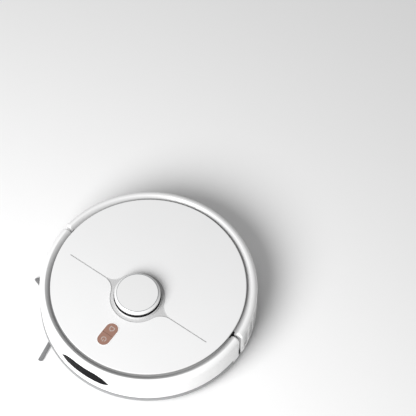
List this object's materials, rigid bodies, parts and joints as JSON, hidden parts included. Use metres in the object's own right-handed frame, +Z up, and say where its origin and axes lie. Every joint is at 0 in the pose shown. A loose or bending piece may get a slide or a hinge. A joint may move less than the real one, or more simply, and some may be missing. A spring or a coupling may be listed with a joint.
{
  "type": "robot vacuum",
  "caption": "Round robot vacuum with laser turret, sprung front bumper, top buttons, side brush, main brush roller, sprung drive wheels, caster and rear slide-out dust bin.",
  "frame": {"origin": "on the floor, under the middle of the axle line of the two drive wheels, which is also the centre of the round body", "axes": "+X to the front of the robot, where the window is; +Y to its left; +Z up"},
  "size_m": [0.357, 0.356, 0.093],
  "materials": {
    "chassis_grey": "fine grain",
    "screw_steel": "zinc plated",
    "cover_grey": "fine grain",
    "battery_blue": "shrink film",
    "bearing_steel": "ground",
    "latch_grey": "fine grain",
    "filter_paper": "pleated",
    "bin_lid_clear": "smoked",
    "belt_rubber": "smooth",
    "guard_grey": "fine grain",
    "inner_black": "moulded",
    "inner_grey": "moulded",
    "motor_steel": "drawn can",
    "pulley_nylon": "moulded",
    "spring_steel": "drawn wire",
    "window_black": "polished",
    "bezel_white": "polished",
    "axle_steel": "ground",
    "fork_black": "moulded",
    "caster_rubber": "smooth",
    "contact_metal": "plated",
    "bin_white": "satin",
    "impeller_nylon": "moulded",
    "casing_white": "satin gloss",
    "plate_white": "satin",
    "button_copper": "satin",
    "seal_rubber": "soft",
    "tyre_rubber": "treaded",
    "arm_black": "moulded",
    "hub_grey": "moulded",
    "lens_glass": "coated",
    "rotor_black": "moulded",
    "board_green": "solder mask",
    "blade_rubber": "soft",
    "core_grey": "moulded",
    "side_hub_white": "moulded",
    "tuft_grey": "nylon bristle",
    "turret_white": "polished"
  },
  "bodies": {
    "root": {"base_chassis": "chassis_grey", "rear_shell": "casing_white", "mid_frame": "inner_grey", "top_plate": "plate_white", "bumper_springs": "spring_steel", "bumper_switches": "inner_black", "turret_base": "turret_white", "turret_cap": "turret_white", "lidar_bracket": "inner_black", "bearings": "bearing_steel", "lidar_motor": "motor_steel", "lidar_belt": "belt_rubber", "button_bezel": "bezel_white", "main_board": "board_green", "battery_pack": "battery_blue", "battery_cover": "cover_grey", "speaker": "inner_black", "wheel_pivot_pins": "axle_steel", "left_wheel_spring": "spring_steel", "right_wheel_spring": "spring_steel", "brush_housing": "inner_black", "brush_motor": "motor_steel", "brush_belt": "belt_rubber", "brush_guard": "guard_grey", "side_brush_gearmotor": "inner_black", "inlet_seal": "seal_rubber", "fan_housing": "inner_grey", "fan_motor": "motor_steel", "charging_contacts": "contact_metal", "cliff_windows": "window_black", "base_screws": "screw_steel"},
    "bumper": {"front_bumper": "casing_white", "bumper_window": "window_black"},
    "lidar_head": {"lidar_rotor": "rotor_black", "lidar_lenses": "lens_glass"},
    "lidar_pulley": {"lidar_motor_pulley": "pulley_nylon"},
    "home_key": {"home_button": "button_copper"},
    "power_key": {"power_button": "button_copper"},
    "left_arm": {"left_wheel_arm": "arm_black", "left_wheel_motor": "motor_steel"},
    "right_arm": {"right_wheel_arm": "arm_black", "right_wheel_motor": "motor_steel"},
    "left_wheel": {"left_wheel_hub": "hub_grey", "left_tyre": "tyre_rubber"},
    "right_wheel": {"right_wheel_hub": "hub_grey", "right_tyre": "tyre_rubber"},
    "caster_swivel": {"caster_fork": "fork_black", "caster_axle": "axle_steel"},
    "caster_roller": {"caster_wheel": "caster_rubber"},
    "main_brush": {"main_brush_core": "core_grey", "main_brush_blades": "blade_rubber", "brush_pulley": "pulley_nylon"},
    "brush_drive": {"brush_motor_pulley": "pulley_nylon"},
    "side_brush": {"side_brush_hub": "side_hub_white", "side_brush_tufts": "tuft_grey"},
    "dustbin": {"dustbin": "bin_white", "bin_lid": "bin_lid_clear", "bin_filter": "filter_paper"},
    "bin_latch": {"bin_button": "latch_grey"},
    "fan": {"fan_impeller": "impeller_nylon"}
  },
  "joints": [
    {"name": "bumper_press", "type": "slide", "parent": "root", "child": "bumper", "axis": [-1, 0, 0], "range_m": [0, 0.0035], "stiffness_N_per_m": 350, "springref_m": -0.002, "deforming": ["bumper_springs"]},
    {"name": "lidar_spin", "type": "hinge", "parent": "root", "child": "lidar_head", "pos_m": [0.0295, 0, 0.07], "axis": [0, 0, 1], "continuous": true},
    {"name": "lidar_pulley_spin", "type": "hinge", "parent": "root", "child": "lidar_pulley", "pos_m": [0.01555, -0.02991, 0.068], "axis": [0, 0, 1], "continuous": true},
    {"name": "home_press", "type": "slide", "parent": "root", "child": "home_key", "axis": [0, 0, -1], "range_m": [0, 0.0008], "stiffness_N_per_m": 500, "springref_m": -0.0004},
    {"name": "power_press", "type": "slide", "parent": "root", "child": "power_key", "axis": [0, 0, -1], "range_m": [0, 0.0008], "stiffness_N_per_m": 500, "springref_m": -0.0004},
    {"name": "left_wheel_drop", "type": "hinge", "parent": "root", "child": "left_arm", "pos_m": [0.05, 0.0995, 0.036], "axis": [0, -1, 0], "range_deg": [0, 27], "stiffness_Nm_per_rad": 0.12, "springref_deg": 80.21, "deforming": ["left_wheel_spring"]},
    {"name": "left_wheel_spin", "type": "hinge", "parent": "left_arm", "child": "left_wheel", "pos_m": [0, 0.12, 0.033], "axis": [0, 1, 0], "continuous": true},
    {"name": "right_wheel_drop", "type": "hinge", "parent": "root", "child": "right_arm", "pos_m": [0.05, -0.0995, 0.036], "axis": [0, -1, 0], "range_deg": [0, 27], "stiffness_Nm_per_rad": 0.12, "springref_deg": 80.21, "deforming": ["right_wheel_spring"]},
    {"name": "right_wheel_spin", "type": "hinge", "parent": "right_arm", "child": "right_wheel", "pos_m": [0, -0.12, 0.033], "axis": [0, 1, 0], "continuous": true},
    {"name": "caster_swivel", "type": "hinge", "parent": "root", "child": "caster_swivel", "pos_m": [0.124, 0, 0.03], "axis": [0, 0, 1], "continuous": true},
    {"name": "caster_spin", "type": "hinge", "parent": "caster_swivel", "child": "caster_roller", "pos_m": [0.118, 0, 0.011], "axis": [0, 1, 0], "continuous": true},
    {"name": "main_brush_spin", "type": "hinge", "parent": "root", "child": "main_brush", "pos_m": [-0.066, 0, 0.022], "axis": [0, 1, 0], "continuous": true},
    {"name": "brush_motor_spin", "type": "hinge", "parent": "root", "child": "brush_drive", "pos_m": [-0.022, 0.082, 0.034], "axis": [0, 1, 0], "continuous": true},
    {"name": "side_brush_spin", "type": "hinge", "parent": "root", "child": "side_brush", "pos_m": [0.0957, -0.097, 0.008], "axis": [0, 0, 1], "continuous": true, "deforming": ["side_brush_tufts"]},
    {"name": "bin_slide", "type": "slide", "parent": "root", "child": "dustbin", "axis": [-1, 0, 0], "range_m": [0, 0.11]},
    {"name": "bin_button_press", "type": "slide", "parent": "dustbin", "child": "bin_latch", "axis": [1, 0, 0], "range_m": [0, 0.002], "stiffness_N_per_m": 400, "springref_m": -0.0008},
    {"name": "fan_spin", "type": "hinge", "parent": "root", "child": "fan", "pos_m": [-0.058, 0.03, 0.06], "axis": [0, 0, 1], "continuous": true}
  ],
  "couplings": [
    {"joint": "lidar_pulley_spin", "follows": "lidar_spin", "ratio": 8},
    {"joint": "brush_motor_spin", "follows": "main_brush_spin", "ratio": 2}
  ]
}
